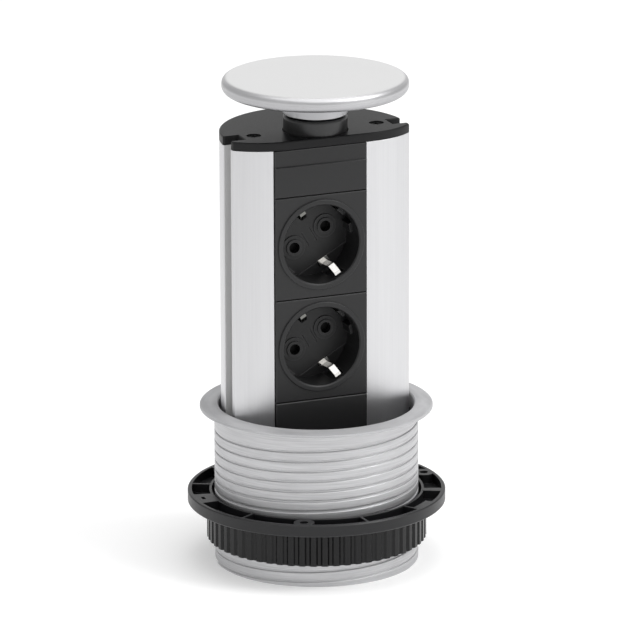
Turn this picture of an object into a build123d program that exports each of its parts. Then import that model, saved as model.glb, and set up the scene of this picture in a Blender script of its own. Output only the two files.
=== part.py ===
"""Pop up desk socket: a column with two earthed sockets that slides in a threaded worktop sleeve.

Origin: centre of the sleeve's lower edge. +Z is up, the sockets face -Y. Lengths are in millimetres.
"""

import os
from math import cos, degrees, radians, sin

from build123d import *

# Worktop sleeve
column_gap = 1.4
sleeve_wall = 2.0
sleeve_height = 80.75
flange_reach = 7.2
flange_thickness = 2.0
flange_edge_thickness = 1.3
flange_edge_round = 0.5
mouth_chamfer = 0.7
thread_lead = 10.3
thread_starts = 2
groove_width = 1.2
groove_depth = 0.65
collar_height = 6.65
groove_turns = 7.6
groove_phase_angle = -67.0

# Column plan
column_front = 17.5
flat_inset = 24.8
front_curve_inset = 11.8
column_wall = 2.2
strip_width = 9.2
slot_depth = 9.1
groove_wall = 2.0
slot_front_y = -5.0
slot_rear_y = 3.8
lip_round = 0.7
insert_offset = 4.55
ring_margin = 1.65
channel_depth_y = 12.1
channel_lip = 1.5
channel_rib_offset = 2.4
channel_lip_reach = 0.4
port_inset = 5.7
port_radius = 4.0
port_hole_radius = 1.75

# Column heights
column_foot = 25.5
base_thickness = 4.0
lower_blank_height = 58.0
socket_margin = 6.4
socket_rise = 0.8
upper_blank_height = 23.9
cap_thickness = 4.4
ledge_below_top = 12.7

# Cap and base plate
cap_slot_inset = 1.0
cap_round = 0.8
cap_lower_round = 0.3
cap_slot_round = 1.1
neck_hole_radius = 16.3
head_radius = 3.6
head_height = 1.9
head_sink = 0.5
screw_radius = 1.6
port_screw_length = 14.0
recess_blade = 0.8
recess_span = 3.4
recess_depth = 1.2

# Front plates
side_gap = 0.3
joint_gap = 0.4
plate_proud = 1.0
ledge_step = 0.8
ledge_chamfer = 0.35
plate_thickness = 2.2
plate_edge_chamfer = 0.35
web_thickness = 1.6
hook_front_y = -13.9
hook_rear_y = -12.3
hook_reach = 2.1

# Socket cup
ring_width = 2.9
ring_proud = 0.9
ring_round = 0.5
cup_radius = 20.0
cup_wall = 1.8
mouth_round = 0.6
cup_depth = 17.0
floor_thickness = 2.2
pin_tilt = 30.0
pin_offset = 9.5
pin_hole_radius = 2.75
boss_radii = (6.0, 4.1)
boss_heights = (0.6, 1.2)
chord_inset = 6.0
chord_depth = 0.9
chord_ridge_width = 0.5
chord_ridge_height = 0.4
mark_offset = 2.4
mark_width = 0.5
mark_length = 8.0
mark_depth = 0.4
key_block_depth = 8.0
key_block_near = 3.0
key_block_far = 7.2
key_block_inset = 1.5
wall_slot_width = 7.0
wall_slot_depth = 1.0
wall_slot_cover = 3.5
clip_slot_width = 6.2
clip_slot_inset = 6.8
clip_slot_length = 4.0
cup_screw_inset = 2.464
cup_boss_radius = 2.6
cup_screw_hole = 1.15
cup_screw_bite = 1.0

# Socket back, contacts and shutter
shutter_room = 2.2
back_depth = 19.5
back_wall = 1.6
pocket_radius = 3.6
pocket_lip = 1.2
pocket_entry_radius = 3.0
tail_hole_radius = 2.5
arm_slot_thickness = 1.2
back_screw_radius = 1.05
back_head_radius = 2.3
back_head_height = 1.8
back_head_cover = 0.3
counterbore_gap = 0.2
shutter_thickness = 1.6
shutter_end = 3.1
shutter_half_width = 3.2
pivot_radius = 2.0
pivot_gap = 0.3
contact_radius = 3.4
contact_bore_radius = 2.43
contact_front = 2.3
contact_root = 1.0
contact_bore_length = 15.0
contact_slit = 0.7
contact_slit_length = 11.0
contact_shoulder_radius = 2.2
rivet_radius = 1.2
rivet_head_radius = 2.0
rivet_head_height = 0.7

# Earth clip
clip_thickness = 0.6
clip_wide = 5.6
clip_narrow = 3.2
clip_inset = 3.8
clip_peak_inset = 1.7
clip_peak_height = 10.8
clip_tip_run = 1.5
clip_tip_height = 14.2
clip_lip = 1.3
clip_tab_length = 2.8
clip_tab_lift = 0.5

# Bars and terminals
bar_thickness = 0.8
live_bar_width = 5.0
earth_bar_width = 6.0
bar_hole_radius = 1.3
earth_bar_gap = 0.1
live_bar_gap = 1.2
bar_bite = 9.0
bar_margin = 4.0
terminal_rise = 30.0
terminal_height = 18.0
terminal_half_width = 14.5
terminal_front_y = 17.0
terminal_rear_y = 31.0
terminal_pitch = 8.2
ear_width = 5.0
ear_height = 3.0
spigot_radius = 1.2
spigot_hole_radius = 1.4
clamp_width = 6.2
clamp_depth = 8.0
clamp_height = 12.0
clamp_floor = 4.5
clamp_gap = 0.15
wire_radius = 2.2
wire_depth = 4.0
bar_slot_margin = 0.2
terminal_screw_radius = 1.5
terminal_head_radius = 2.1
terminal_head_height = 1.8
terminal_screw_heights = (4.0, 10.2)
screwdriver_slot = 0.6

# Cord inlet
inlet_y = 22.0
gland_radius = 7.9
gland_bore_radius = 4.2
gland_flange_radius = 11.0
gland_flange_height = 2.6
gland_nut_flats = 22.0
gland_nut_height = 4.0
inlet_gap = 0.2
saddle_half_width = 14.5
saddle_thickness = 9.8
saddle_height = 14.0
clamp_bar_height = 8.0
clamp_bar_thickness = 4.0
clamp_screw_x = 11.0
clamp_screw_radius = 1.5
clamp_head_radius = 2.8
clamp_head_height = 2.0
clamp_screw_end = 3.0
pillar_width = 2.6
pillar_depth = 6.0

# Lid and neck
lid_inset = 1.3
lid_above_cap = 26.7
lid_thickness = 7.3
lid_top_round = 3.0
lid_lower_round = 3.2
lid_hollow_inner = 19.0
lid_rim = 5.4
lid_hollow_depth = 3.6
lid_boss_radius = 6.0
lid_tap_radius = 2.1
lid_tap_depth = 10.0
collar_radius = 16.2
collar_bore_radius = 13.7
collar_gap = 0.5
collar_above_cap = 8.5
collar_round = 0.4
neck_radius = 15.9
neck_bore_radius = 12.2
neck_round = 1.8
neck_web = 2.0
neck_spigot_radius = 13.5
neck_spigot_length = 4.0
neck_foot_radius = 17.4
neck_foot_height = 1.2
neck_foot_drop = 0.5
neck_foot_front = 15.95
lid_screw_head_radius = 4.4
lid_screw_head_height = 2.8
lid_screw_radius = 2.0
lid_screw_hole = 2.2
lid_screw_length = 11.0
hex_recess = 3.0
hex_depth = 1.5

# Guide cup under the cap and lid spring
guide_radius = 19.1
guide_bore_radius = 17.7
guide_depth = 23.0
guide_floor_thickness = 1.5
guide_front = 16.15
guide_ear_thickness = 2.0
guide_screw_ring = 23.4
guide_screw_angles = (30.0, 150.0)
guide_ear_radius = 4.0
guide_screw_radius = 1.15
guide_screw_hole = 1.25
guide_screw_head_radius = 2.3
guide_screw_head_height = 1.6
guide_screw_bite = 2.8
spring_post_radius = 8.6
spring_post_height = 3.0
spring_radius = 11.0
spring_wire = 0.6
spring_turns = 6.5
spring_gap = 0.1

# Guide keys and pads in the sleeve
key_side_gap = 0.4
key_foot_gap = 0.3
key_below_top = 7.85
key_step_drop = 4.45
key_bore_gap = 0.02
key_screw_heights = (37.5, 58.5)
key_screw_radius = 1.45
key_screw_head_radius = 2.9
key_screw_head_height = 1.6
key_screw_sink = 0.2
key_screw_bite = 1.1
key_screw_clearance = 0.1
pad_gap = 0.3
pad_width = 12.0
pad_foot = 47.5
pad_top = 71.5
pad_angles = (45.0, 90.0, 135.0)

# Clamp ring
clamp_ring_width = 12.0
clamp_foot = 29.9
clamp_rim_height = 6.1
clamp_wall = 2.0
clamp_floor_thickness = 1.5
clamp_bore_gap = 1.5
clamp_inner_wall = 1.2
clamp_inner_drop = 0.3
clamp_rib = 1.2
clamp_rib_drop = 0.2
clamp_ribs = 12
clamp_bosses = 3
clamp_turn = 1.6
clamp_boss_inset = 6.6
clamp_boss_radius = 5.1
clamp_hole_radius = 2.2
clamp_edge_round = 0.5
lug_angles = (168.6, 181.6)
lug_slot_length = 4.0
lug_slot_width = 1.8
lug_slot_depth = 2.0
corner_angles = (-57.8, -45.4)
corner_depth = 5.6
ramp_angles = (-28.4, -14.0)
ramp_steps = 4

# Knurled nut
nut_foot = 11.75
nut_height = 17.85
nut_bore_gap = 0.4
nut_wall = 2.6
nut_rib_height = 1.0
nut_ribs = 60
rib_crest_share = 0.42
rib_root_share = 0.74
nut_lip = 1.2
nut_bore_chamfer = 0.6
notch_angle = -149.0
notch_width = 2.2
notch_depth = 1.6

# Overruns and hairline gaps
overrun = 1.0
hair = 0.02

# Heights and depths that follow
ring_radius = cup_radius + ring_width
opening_half = ring_radius + ring_margin
socket_x = -insert_offset
opening_left = socket_x - opening_half
opening_right = socket_x + opening_half
plate_left = opening_left + side_gap
plate_right = opening_right - side_gap
groove_inner_x = strip_width - opening_left
port_x = groove_inner_x - port_inset
cap_slot_inner_x = groove_inner_x + cap_slot_inset
column_radius = groove_inner_x + slot_depth
flat_half_width = column_radius - flat_inset
front_curve_radius = column_radius - front_curve_inset
curve_centre_y = front_curve_radius - column_front
bore_radius = column_radius + column_gap
thread_radius = bore_radius + sleeve_wall
flange_radius = thread_radius + flange_reach
flange_under = sleeve_height - flange_thickness
groove_top = flange_under - collar_height
base_top = column_foot + base_thickness
socket_pitch = 2 * ring_radius + socket_margin
joint_low = base_top + lower_blank_height
joint_heights = [joint_low + 2 * socket_pitch, joint_low + socket_pitch, joint_low]
cap_bottom = joint_heights[0] + upper_blank_height
cap_top = cap_bottom + cap_thickness
plate_front = column_front + plate_proud
ring_front = plate_front + ring_proud
floor_front = ring_front - cup_depth
floor_rear = floor_front - floor_thickness
back_front = floor_rear - shutter_room
back_rear = back_front - back_depth
socket_heights = {
    "upper": (joint_heights[0] + joint_heights[1]) / 2 + socket_rise,
    "lower": (joint_heights[1] + joint_heights[2]) / 2 + socket_rise,
}
back_radius = cup_radius + back_wall
chord_offset = cup_radius - chord_inset
clip_slot_inner = cup_radius - clip_slot_inset
clip_slot_outer = clip_slot_inner + clip_slot_length
clip_reach = cup_radius - clip_inset
clip_peak_reach = clip_reach - clip_peak_inset
clip_tip_reach = clip_reach + clip_tip_run
clip_tab_inner = clip_reach - clip_tab_length
cup_screw_offset = (cup_radius - cup_screw_inset) * cos(radians(45))
shutter_half_length = pin_offset + shutter_end
strap_rear = back_rear - hair - clip_thickness
earth_bar_y = -strap_rear + earth_bar_gap
live_bar_y = earth_bar_y + bar_thickness + live_bar_gap
terminal_foot = base_top + terminal_rise
bar_foot = terminal_foot + bar_bite
guide_floor = cap_bottom - guide_depth
lid_radius = column_radius - lid_inset
lid_hollow_outer = lid_radius - lid_rim
lid_top = cap_top + lid_above_cap
lid_under = lid_top - lid_thickness
collar_foot = cap_top + collar_above_cap
neck_top = collar_foot - collar_gap
neck_foot = cap_bottom - neck_foot_drop - neck_foot_height
neck_web_top = collar_foot + neck_spigot_length
neck_seat = neck_web_top - neck_web
key_inner_x = groove_inner_x + key_side_gap
key_upper_inner_x = cap_slot_inner_x + key_side_gap
key_foot = base_top + key_foot_gap
key_top = sleeve_height - key_below_top
key_step = key_top - key_step_drop
key_screw_tip = bore_radius + key_screw_bite
key_screw_hole_tip = key_screw_tip + key_screw_clearance
pad_inner_radius = column_radius + pad_gap
clamp_bore_radius = thread_radius + clamp_bore_gap
clamp_radius = clamp_bore_radius + clamp_ring_width
clamp_boss_ring = clamp_bore_radius + clamp_boss_inset
corner_inner = clamp_radius - corner_depth
clamp_top = clamp_foot + clamp_rim_height
nut_bore_radius = thread_radius + nut_bore_gap
nut_valley_radius = nut_bore_radius + nut_wall
nut_crest_radius = nut_valley_radius + nut_rib_height


# Plain solids between limits
def block(x0, x1, y0, y1, z0, z1):
    """Box between two opposite corners."""
    middle = Pos((x0 + x1) / 2, (y0 + y1) / 2, (z0 + z1) / 2)
    return middle * Box(x1 - x0, y1 - y0, z1 - z0)


def post(radius, z0, z1, x=0, y=0):
    """Upright round bar from height z0 to z1."""
    return Pos(x, y, (z0 + z1) / 2) * Cylinder(radius, z1 - z0)


def tube(outer, inner, z0, z1, x=0, y=0):
    """Upright tube from height z0 to z1."""
    return post(outer, z0, z1, x, y) - post(inner, z0 - overrun, z1 + overrun, x, y)


def rod_y(radius, y0, y1, x, z):
    """Round bar along Y."""
    return Pos(x, (y0 + y1) / 2, z) * Rot(90, 0, 0) * Cylinder(radius, y1 - y0)


def polar(radius, angle):
    """Point at a radius and an angle in the plan."""
    return radius * cos(radians(angle)), radius * sin(radians(angle))


def sector(outer, inner, start, end, z0, z1):
    """Part of a tube between two angles."""
    profile = Pos((outer + inner) / 2, 0, (z0 + z1) / 2) * Rot(90, 0, 0) * Rectangle(outer - inner, z1 - z0)
    return Rot(0, 0, start) * revolve(profile, Axis.Z, end - start)


def turned(points):
    """Solid turned about Z from its half profile of radius and height."""
    wire = Polyline([(r, 0, z) for r, z in points], close=True)
    return revolve(make_face(wire.edges()), Axis.Z, 360)


def one_group(solids):
    """Several loose solids as one group."""
    parts = []
    for solid in solids:
        parts.extend(solid.solids())
    return Compound(children=parts)


def countersunk_screw(radius, head, height, length):
    """Cross slotted screw: head at the top, its face at height zero."""
    body = turned([(0, 0), (head, 0), (radius, -height), (radius, -length), (0, -length)])
    slot = Pos(0, 0, -recess_depth / 2) * Box(recess_span * head / head_radius, recess_blade, recess_depth)
    return body - slot - Rot(0, 0, 90) * slot


def cap_screw(radius, head, height, length):
    """Round headed screw: the head's underside at height zero, the shank below it."""
    body = post(head, 0, height) + post(radius, -length, 0)
    return body - Pos(0, 0, height) * Box(head + radius, screwdriver_slot, height)


# Plan of the column
def column_plan(inset=0):
    """Round at the back, flat at the front with a long curve to each side."""
    curve = front_curve_radius - inset
    front_y = inset - column_front
    flat = Pos(0, (front_y + curve_centre_y) / 2) * Rectangle(2 * flat_half_width, curve_centre_y - front_y)
    rear = Pos(0, curve_centre_y + column_radius / 2) * Rectangle(4 * column_radius, column_radius)
    shape = flat + rear
    for side in (-1, 1):
        shape += Pos(side * flat_half_width, curve_centre_y) * Circle(curve)
    return Circle(column_radius - inset) & shape


def side_slots(inner_x, margin=0):
    """The two slots of the plan, wider all round by a margin."""
    width = column_radius + overrun - inner_x
    height = slot_rear_y - slot_front_y + 2 * margin
    middle_y = (slot_rear_y + slot_front_y) / 2
    shape = Sketch()
    for side in (-1, 1):
        shape += Pos(side * (inner_x + width / 2), middle_y) * Rectangle(width, height)
    return shape


def span(x0, x1, y0, y1):
    """Rectangle of a plan between two corners."""
    return Pos((x0 + x1) / 2, (y0 + y1) / 2) * Rectangle(x1 - x0, y1 - y0)


def rounded_slots(plan, radius):
    """Round the outer lips of the slots."""
    middle_x = (groove_inner_x + column_radius) / 2
    lips = []
    for vertex in plan.vertices():
        on_slot = min(abs(vertex.Y - slot_front_y), abs(vertex.Y - slot_rear_y)) < hair
        if on_slot and abs(vertex.X) > middle_x:
            lips.append(vertex)
    return fillet(lips, radius)


def extrusion_plan():
    """Wall of the column with its grooves, screw ports and plate channels."""
    outer = rounded_slots(column_plan() - side_slots(groove_inner_x), lip_round)
    inner = column_plan(column_wall) - side_slots(groove_inner_x - groove_wall, groove_wall)
    wall = outer - inner
    for side in (-1, 1):
        wall += Pos(side * port_x, 0) * Circle(port_radius)
        wall -= Pos(side * port_x, 0) * Circle(port_hole_radius)
    wall -= span(opening_left, opening_right, -column_front - overrun, -channel_depth_y)
    rib_rear = -channel_depth_y + channel_lip
    rib_front = -column_front + column_wall + hair
    for edge, side in ((opening_left, -1), (opening_right, 1)):
        rib_x = edge + side * channel_rib_offset
        outer_x = rib_x + side * channel_lip
        lip_x = edge - side * channel_lip_reach
        wall += span(min(rib_x, outer_x), max(rib_x, outer_x), rib_front, rib_rear)
        wall += span(min(lip_x, outer_x), max(lip_x, outer_x), -channel_depth_y, rib_rear)
    return wall


# Sleeve
def threaded_sleeve():
    """Flanged sleeve with a right hand thread of narrow grooves."""
    shape = turned(
        [
            (bore_radius, 0),
            (thread_radius, 0),
            (thread_radius, flange_under),
            (flange_radius, flange_under),
            (flange_radius, flange_under + flange_edge_thickness - flange_edge_round),
            (flange_radius - flange_edge_round, flange_under + flange_edge_thickness),
            (bore_radius + mouth_chamfer, sleeve_height),
            (bore_radius, sleeve_height - mouth_chamfer),
        ]
    )
    helix = Helix(thread_lead, groove_turns * thread_lead, thread_radius)
    section_plane = Plane(origin=helix @ 0, x_dir=(1, 0, 0), z_dir=helix % 0)
    section = section_plane * Rectangle(2 * groove_depth, groove_width)
    groove = Pos(0, 0, groove_top - groove_turns * thread_lead) * sweep(section, path=helix, is_frenet=True)
    for start in range(thread_starts):
        shape -= Rot(0, 0, groove_phase_angle + start * 360 / thread_starts) * groove
    for side in (0, 180):
        for height in key_screw_heights:
            drill = Pos(bore_radius - overrun, 0, height) * Rot(0, 90, 0) * key_screw_drill()
            shape -= Rot(0, 0, side) * drill
    return shape


def key_screw_drill():
    """Blind hole of a key screw in the sleeve wall, along Z from zero."""
    return post(key_screw_radius + key_screw_clearance, 0, key_screw_hole_tip - bore_radius + overrun)


def guide_key(side):
    """Key in the groove of the column, with a step on which the lowered cap lands."""
    width = (slot_rear_y - slot_front_y) - 2 * key_side_gap
    middle_y = (slot_rear_y + slot_front_y) / 2
    outer_x = bore_radius + overrun
    lower = block(key_inner_x, outer_x, middle_y - width / 2, middle_y + width / 2, key_foot, key_step)
    upper = block(key_upper_inner_x, outer_x, middle_y - width / 2, middle_y + width / 2, key_step, key_top)
    key = (lower + upper) & post(bore_radius - key_bore_gap, key_foot, key_top)
    for height in key_screw_heights:
        hole = turned(
            [
                (0, -overrun),
                (key_screw_head_radius, -overrun),
                (key_screw_head_radius, key_screw_sink),
                (key_screw_radius + key_screw_clearance, key_screw_sink + key_screw_head_height),
                (key_screw_radius + key_screw_clearance, outer_x - key_inner_x),
                (0, outer_x - key_inner_x),
            ]
        )
        key -= Pos(key_inner_x, 0, height) * Rot(0, 90, 0) * hole
    if side < 0:
        key = mirror(key, Plane.YZ)
    return key


def key_screws():
    """Countersunk screws from the keys into the sleeve wall."""
    head = key_screw_head_radius - key_screw_clearance
    length = key_screw_tip - key_inner_x - key_screw_sink
    screws = []
    for turn in (0, 180):
        for height in key_screw_heights:
            upright = countersunk_screw(key_screw_radius, head, key_screw_head_height, length)
            screw = Rot(0, -90, 0) * upright
            placed = Pos(key_inner_x + key_screw_sink, 0, height) * screw
            screws.append(Rot(0, 0, turn) * placed)
    return one_group(screws)


def glide_pads():
    """Thin pads on the bore that carry the back of the column."""
    pads = []
    outer = bore_radius - hair
    half_angle = degrees(pad_width / 2 / pad_inner_radius)
    for angle in pad_angles:
        start = angle - half_angle
        end = angle + half_angle
        pads.append(sector(outer, pad_inner_radius, start, end, pad_foot, pad_top))
    return one_group(pads)


# Clamp ring and nut
def clamp_ring():
    """Ring that presses the worktop from below: rim, ribs, pockets and three screw bosses."""
    foot, top = clamp_foot, clamp_top
    ring = turned(
        [
            (clamp_bore_radius, foot),
            (clamp_radius - clamp_edge_round, foot),
            (clamp_radius, foot + clamp_edge_round),
            (clamp_radius, top - clamp_edge_round),
            (clamp_radius - clamp_edge_round, top),
            (clamp_radius - clamp_wall, top),
            (clamp_radius - clamp_wall, foot + clamp_floor_thickness),
            (clamp_bore_radius + clamp_inner_wall, foot + clamp_floor_thickness),
            (clamp_bore_radius + clamp_inner_wall, top - clamp_inner_drop),
            (clamp_bore_radius, top - clamp_inner_drop),
        ]
    )
    rib_start = clamp_bore_radius + clamp_inner_wall / 2
    rib_end = clamp_radius - clamp_wall / 2
    rib_step = 360 / clamp_ribs
    for index in range(clamp_ribs):
        angle = clamp_turn + index * rib_step
        if index % (clamp_ribs // clamp_bosses) == 0:
            ring += boss_between(angle, foot, top)
        else:
            rib = block(rib_start, rib_end, -clamp_rib / 2, clamp_rib / 2, foot, top - clamp_rib_drop)
            ring += Rot(0, 0, angle) * rib
    ring += sector(rib_end, rib_start, lug_angles[0], lug_angles[1], foot, top - clamp_rib_drop)
    ring += sector(rib_end, corner_inner, corner_angles[0], corner_angles[1], foot, top - clamp_rib_drop)
    step_angle = (ramp_angles[1] - ramp_angles[0]) / ramp_steps
    step_height = (clamp_rim_height - clamp_floor_thickness - clamp_rib_drop) / ramp_steps
    for step in range(ramp_steps):
        step_top = top - clamp_rib_drop - step * step_height
        start = ramp_angles[0] + step * step_angle
        ring += sector(rib_end, rib_start, start, start + step_angle, foot, step_top)
    for index in range(clamp_bosses):
        x, y = polar(clamp_boss_ring, clamp_turn + index * 360 / clamp_bosses)
        ring -= post(clamp_hole_radius, foot - overrun, top + overrun, x, y)
    lug_middle = (lug_angles[0] + lug_angles[1]) / 2
    slot = Pos(clamp_boss_ring, 0, top) * Box(lug_slot_width, lug_slot_length, 2 * lug_slot_depth)
    ring -= Rot(0, 0, lug_middle) * slot
    return ring


def boss_between(angle, foot, top):
    """Screw boss of the clamp ring, kept between the inner wall and the rim."""
    x, y = polar(clamp_boss_ring, angle)
    boss = post(clamp_boss_radius, foot, top, x, y)
    limits = tube(clamp_radius - clamp_wall / 2, clamp_bore_radius + clamp_inner_wall / 2, foot, top)
    return boss & limits


def knurled_nut():
    """Grip nut with upright ribs and a smooth lip at its top."""
    top = nut_foot + nut_height
    pitch = 360 / nut_ribs
    points = []
    for index in range(nut_ribs):
        middle = index * pitch
        for radius, share in (
            (nut_valley_radius, -rib_root_share),
            (nut_crest_radius, -rib_crest_share),
            (nut_crest_radius, rib_crest_share),
            (nut_valley_radius, rib_root_share),
        ):
            points.append(polar(radius, middle + share * pitch / 2))
    outline = make_face(Polyline(points, close=True).edges())
    nut = Pos(0, 0, nut_foot) * extrude(outline, nut_height - nut_lip)
    nut += post(nut_crest_radius, top - nut_lip, top)
    nut -= turned(
        [
            (0, nut_foot - overrun),
            (nut_bore_radius + nut_bore_chamfer + overrun, nut_foot - overrun),
            (nut_bore_radius, nut_foot + nut_bore_chamfer),
            (nut_bore_radius, top + overrun),
            (0, top + overrun),
        ]
    )
    notch = Pos(nut_crest_radius, 0, top) * Box(notch_width, notch_width, 2 * notch_depth)
    return nut - Rot(0, 0, notch_angle) * notch


# Column shell
def column_extrusion():
    """Aluminium profile from the base plate to the cap."""
    return Pos(0, 0, base_top) * extrude(extrusion_plan(), cap_bottom - base_top)


def top_cap():
    """Plate over the column with the neck hole and two countersunk holes."""
    plan = rounded_slots(column_plan() - side_slots(cap_slot_inner_x), cap_slot_round)
    cap = Pos(0, 0, cap_bottom) * extrude(plan, cap_thickness)
    cap = fillet(cap.faces().sort_by(Axis.Z)[-1].edges(), cap_round)
    cap = fillet(cap.faces().sort_by(Axis.Z)[0].edges(), cap_lower_round)
    cap -= post(neck_hole_radius, cap_bottom - overrun, cap_top + overrun)
    for side in (-1, 1):
        cap -= Pos(side * port_x, 0, cap_top) * countersink()
    for angle in guide_screw_angles:
        x, y = polar(guide_screw_ring, angle)
        cap -= post(guide_screw_hole, cap_bottom - overrun, cap_bottom + guide_screw_bite + hair, x, y)
    return cap


def countersink():
    """Space of a countersunk hole, its mouth at height zero."""
    clear = key_screw_clearance
    return turned(
        [
            (0, overrun),
            (head_radius + clear, overrun),
            (head_radius + clear, -head_sink),
            (screw_radius + clear, -head_sink - head_height),
            (screw_radius + clear, -cap_thickness - overrun),
            (0, -cap_thickness - overrun),
        ]
    )


def port_screws(upward):
    """Screws at the two ports: down through the cap, or up through the base plate."""
    screws = []
    for side in (-1, 1):
        screw = countersunk_screw(screw_radius, head_radius, head_height, port_screw_length)
        if upward:
            screws.append(Pos(side * port_x, 0, column_foot + head_sink) * Rot(180, 0, 0) * screw)
        else:
            screws.append(Pos(side * port_x, 0, cap_top - head_sink) * screw)
    return one_group(screws)


def base_plate():
    """Foot of the column: fills the grooves as a stop, and carries the cord inlet."""
    base = Pos(0, 0, column_foot) * extrude(column_plan(), base_thickness)
    base = fillet(base.faces().sort_by(Axis.Z)[0].edges(), cap_lower_round)
    base -= post(gland_radius + inlet_gap, column_foot - overrun, base_top + overrun, socket_x, inlet_y)
    for side in (-1, 1):
        base -= Pos(side * port_x, 0, column_foot) * Rot(180, 0, 0) * countersink()
    saddle_rear = inlet_y - gland_bore_radius
    left, right = socket_x - saddle_half_width, socket_x + saddle_half_width
    saddle_foot = base_top + gland_nut_height
    saddle_front = saddle_rear - saddle_thickness
    base += block(left, right, saddle_front, saddle_rear, saddle_foot, base_top + saddle_height)
    nut_clear = inlet_y - gland_nut_flats / 2 - inlet_gap
    base += block(left, right, saddle_rear - saddle_thickness, nut_clear, base_top, saddle_foot)
    for x in (socket_x - clamp_screw_x, socket_x + clamp_screw_x):
        hole_end = saddle_rear - clamp_screw_end
        base -= rod_y(clamp_screw_radius + hair, hole_end, saddle_rear + overrun, x, clamp_z())
    for side in (-1, 1):
        x = socket_x + side * (terminal_half_width + ear_width / 2)
        y = (terminal_front_y + terminal_rear_y) / 2
        half, depth = pillar_width / 2, pillar_depth / 2
        base += block(x - half, x + half, y - depth, y + depth, base_top, terminal_foot)
        base += post(spigot_radius, terminal_foot, terminal_foot + ear_height, x, y)
    return base


def clamp_z():
    """Height of the cord clamp's screws."""
    return base_top + saddle_height - clamp_bar_height / 2


# Cord inlet
def cord_gland():
    """Flanged bush that the cord passes through."""
    foot = column_foot - gland_flange_height
    top = base_top + gland_nut_height - inlet_gap
    gland = tube(gland_radius, gland_bore_radius, foot, top, socket_x, inlet_y)
    gland += tube(gland_flange_radius, gland_bore_radius, foot, column_foot, socket_x, inlet_y)
    return gland


def gland_nut():
    """Hexagon nut that holds the gland in the base plate."""
    outer = RegularPolygon(gland_nut_flats / 2, 6, major_radius=False)
    nut = extrude(outer - Circle(gland_radius + inlet_gap / 2), gland_nut_height - inlet_gap)
    return Pos(socket_x, inlet_y, base_top) * nut


def cord_clamp():
    """Bar behind the cord."""
    rear = inlet_y + gland_bore_radius
    left, right = socket_x - saddle_half_width, socket_x + saddle_half_width
    low, high = base_top + saddle_height - clamp_bar_height, base_top + saddle_height
    bar = block(left, right, rear, rear + clamp_bar_thickness, low, high)
    for x in (socket_x - clamp_screw_x, socket_x + clamp_screw_x):
        far = rear + clamp_bar_thickness + overrun
        bar -= rod_y(clamp_screw_radius + inlet_gap, rear - overrun, far, x, clamp_z())
    return bar


def cord_clamp_screws():
    """Screws that pull the bar towards the saddle."""
    rear = inlet_y + gland_bore_radius + clamp_bar_thickness
    tip = inlet_y - gland_bore_radius - clamp_screw_end + hair
    screws = []
    for x in (socket_x - clamp_screw_x, socket_x + clamp_screw_x):
        screw = cap_screw(clamp_screw_radius, clamp_head_radius, clamp_head_height, rear - tip)
        screws.append(Pos(x, rear, clamp_z()) * Rot(-90, 0, 0) * screw)
    return one_group(screws)


# Front plates
def hat_plate(z0, z1, front, step=0, step_height=0):
    """Front plate: face, two webs and the hooks that run behind the column's strips."""
    rear = -front + plate_thickness
    plate = block(plate_left, plate_right, -front, rear, z0, z1)
    outline = plate.faces().sort_by(Axis.Y)[0].edges()
    plate = chamfer(outline, plate_edge_chamfer)
    if step_height:
        ledge = z1 - step_height
        left = plate_left - overrun
        right = plate_right + overrun
        plate -= block(left, right, -front - overrun, -front + step, ledge, z1 + overrun)
        front_edges = plate.edges().filter_by(Axis.X).group_by(Axis.Y)[0]
        plate = chamfer(front_edges.sort_by(Axis.Z)[-1], ledge_chamfer)
    for x0, x1 in ((plate_left, plate_left + web_thickness), (plate_right - web_thickness, plate_right)):
        plate += block(x0, x1, -front + plate_edge_chamfer + step, hook_rear_y, z0, z1)
    left_hook = opening_left - hook_reach
    right_hook = opening_right + hook_reach
    plate += block(left_hook, plate_left + web_thickness, hook_front_y, hook_rear_y, z0, z1)
    plate += block(plate_right - web_thickness, right_hook, hook_front_y, hook_rear_y, z0, z1)
    return plate


def blank_plate_upper():
    """Blank plate under the cap, set back above its ledge."""
    top = cap_bottom - joint_gap / 2
    foot = joint_heights[0] + joint_gap / 2
    ledge = cap_top - ledge_below_top
    return hat_plate(foot, top, plate_front, ledge_step, top - ledge)


def blank_plate_lower():
    """Blank plate from the lower socket down to the base plate."""
    return hat_plate(base_top + joint_gap / 2, joint_heights[2] - joint_gap / 2, plate_front)


# Sockets, drawn about their own centre: X along the pins, Z out of the front
def socket_place(name):
    """Place of a socket: its centre on the column's axis plane, turned by the tilt of the pins."""
    tilt = radians(pin_tilt)
    centre = (socket_x, 0, socket_heights[name])
    plane = Plane(origin=centre, x_dir=(cos(tilt), 0, sin(tilt)), z_dir=(0, -1, 0))
    return plane.location


def socket_recess():
    """Hollow that takes the plug, with a rounded mouth."""
    hollow = post(cup_radius, floor_front, ring_front + overrun)
    mouth = turned(
        [
            (0, ring_front - mouth_round),
            (cup_radius, ring_front - mouth_round),
            (cup_radius + mouth_round + overrun, ring_front + overrun),
            (0, ring_front + overrun),
        ]
    )
    return hollow + mouth


def key_blocks():
    """Guide blocks in the cup wall at the two ends of the pin line."""
    blocks = Part()
    top = ring_front - key_block_depth
    keep = tube(cup_radius + cup_wall / 2, cup_radius - key_block_inset, floor_front - hair, top)
    start = cup_radius - 2 * key_block_far
    for turn in (0, 180):
        for low, high in ((key_block_near, key_block_far), (-key_block_far, -key_block_near)):
            bar = block(start, cup_radius + overrun, low, high, floor_front - hair, top)
            blocks += Rot(0, 0, turn) * (bar & keep)
    return blocks


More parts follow.
